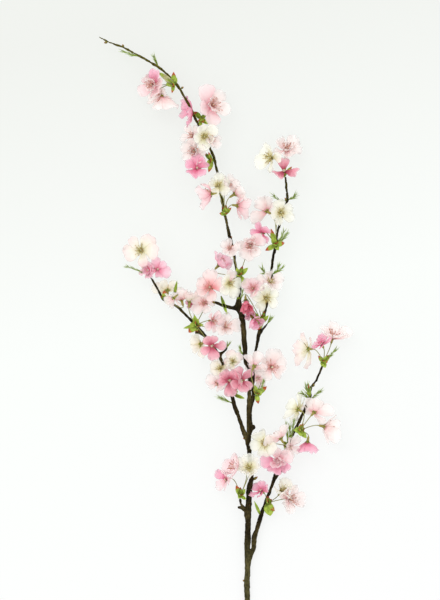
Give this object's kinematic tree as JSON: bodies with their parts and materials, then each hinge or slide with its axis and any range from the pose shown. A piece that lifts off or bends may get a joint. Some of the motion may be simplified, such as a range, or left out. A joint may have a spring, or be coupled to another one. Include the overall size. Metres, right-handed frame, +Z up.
{
  "type": "cherry blossom sprig",
  "caption": "Cut cherry twig in blossom, lying down: a knotty stem with side branches, young bracts and short-stalked flowers in pale pink, white and deep pink.",
  "frame": {"origin": "the middle of the sprig's outline, on the surface that it lies on", "axes": "+Y runs along the sprig from the cut end to the tip, +Z points up from the surface, +X to the right as seen from above"},
  "size_m": [0.376, 0.8757, 0.0629],
  "materials": {
    "bark": "rough dark brown bark with olive young wood and paler knots",
    "leaf": "soft yellow-green bracts and calyxes with orange-red tips",
    "petal_pale": "thin translucent pale pink petals, rosier at the base",
    "petal_white": "thin translucent cream white petals with a greenish heart",
    "petal_deep": "thin translucent deep pink petals with a crimson heart"
  },
  "bodies": {
    "root": {"bloom_a1": "petal_pale", "bloom_a2": "petal_pale", "bloom_b1": "petal_pale", "bloom_c1": "petal_deep", "bloom_c2_c3_c4": "petal_pale", "bloom_c5": "petal_deep", "bloom_d1_d2": "petal_white", "bloom_d3_d4": "petal_pale", "bloom_e1_e2": "petal_white", "bloom_e3": "petal_deep", "bloom_f1": "petal_pale", "bloom_f2": "petal_white", "bloom_f3": "petal_deep", "bloom_g1_g2": "petal_pale", "bloom_g3": "petal_pale", "bloom_h1_h2_h3": "petal_white", "bloom_i1": "petal_pale", "bloom_i2_i3": "petal_deep", "bloom_j1": "petal_pale", "bloom_j2_j3_j4_j5": "petal_pale", "bloom_k1_k2": "petal_pale", "bloom_k3": "petal_deep", "bloom_k4": "petal_pale", "bloom_l1_l2": "petal_deep", "bloom_l3_l4": "petal_pale", "bloom_m1_m2": "petal_pale", "bloom_n1": "petal_pale", "bloom_n2": "petal_deep", "bloom_n3": "petal_pale", "bloom_p1": "petal_pale", "bloom_p2": "petal_pale", "bloom_p3": "petal_pale", "bloom_p4": "petal_deep", "bloom_q1_q2": "petal_white", "bloom_q3": "petal_deep", "bloom_r1_r2": "petal_pale", "bloom_r3": "petal_deep", "bloom_s1": "petal_deep", "bloom_s2_s3": "petal_pale", "bloom_t1_t2": "petal_deep", "bloom_u1_u2_u3": "petal_white", "bracts_a": "leaf", "bracts_b": "leaf", "bracts_c": "leaf", "bracts_d": "leaf", "bracts_e": "leaf", "bracts_f": "leaf", "bracts_g": "leaf", "bracts_i": "leaf", "bracts_j": "leaf", "bracts_k": "leaf", "bracts_l": "leaf", "bracts_m": "leaf", "bracts_n": "leaf", "bracts_p": "leaf", "bracts_q": "leaf", "bracts_r": "leaf", "bracts_s": "leaf", "bracts_t": "leaf", "wood": "bark"}
  },
  "joints": []
}
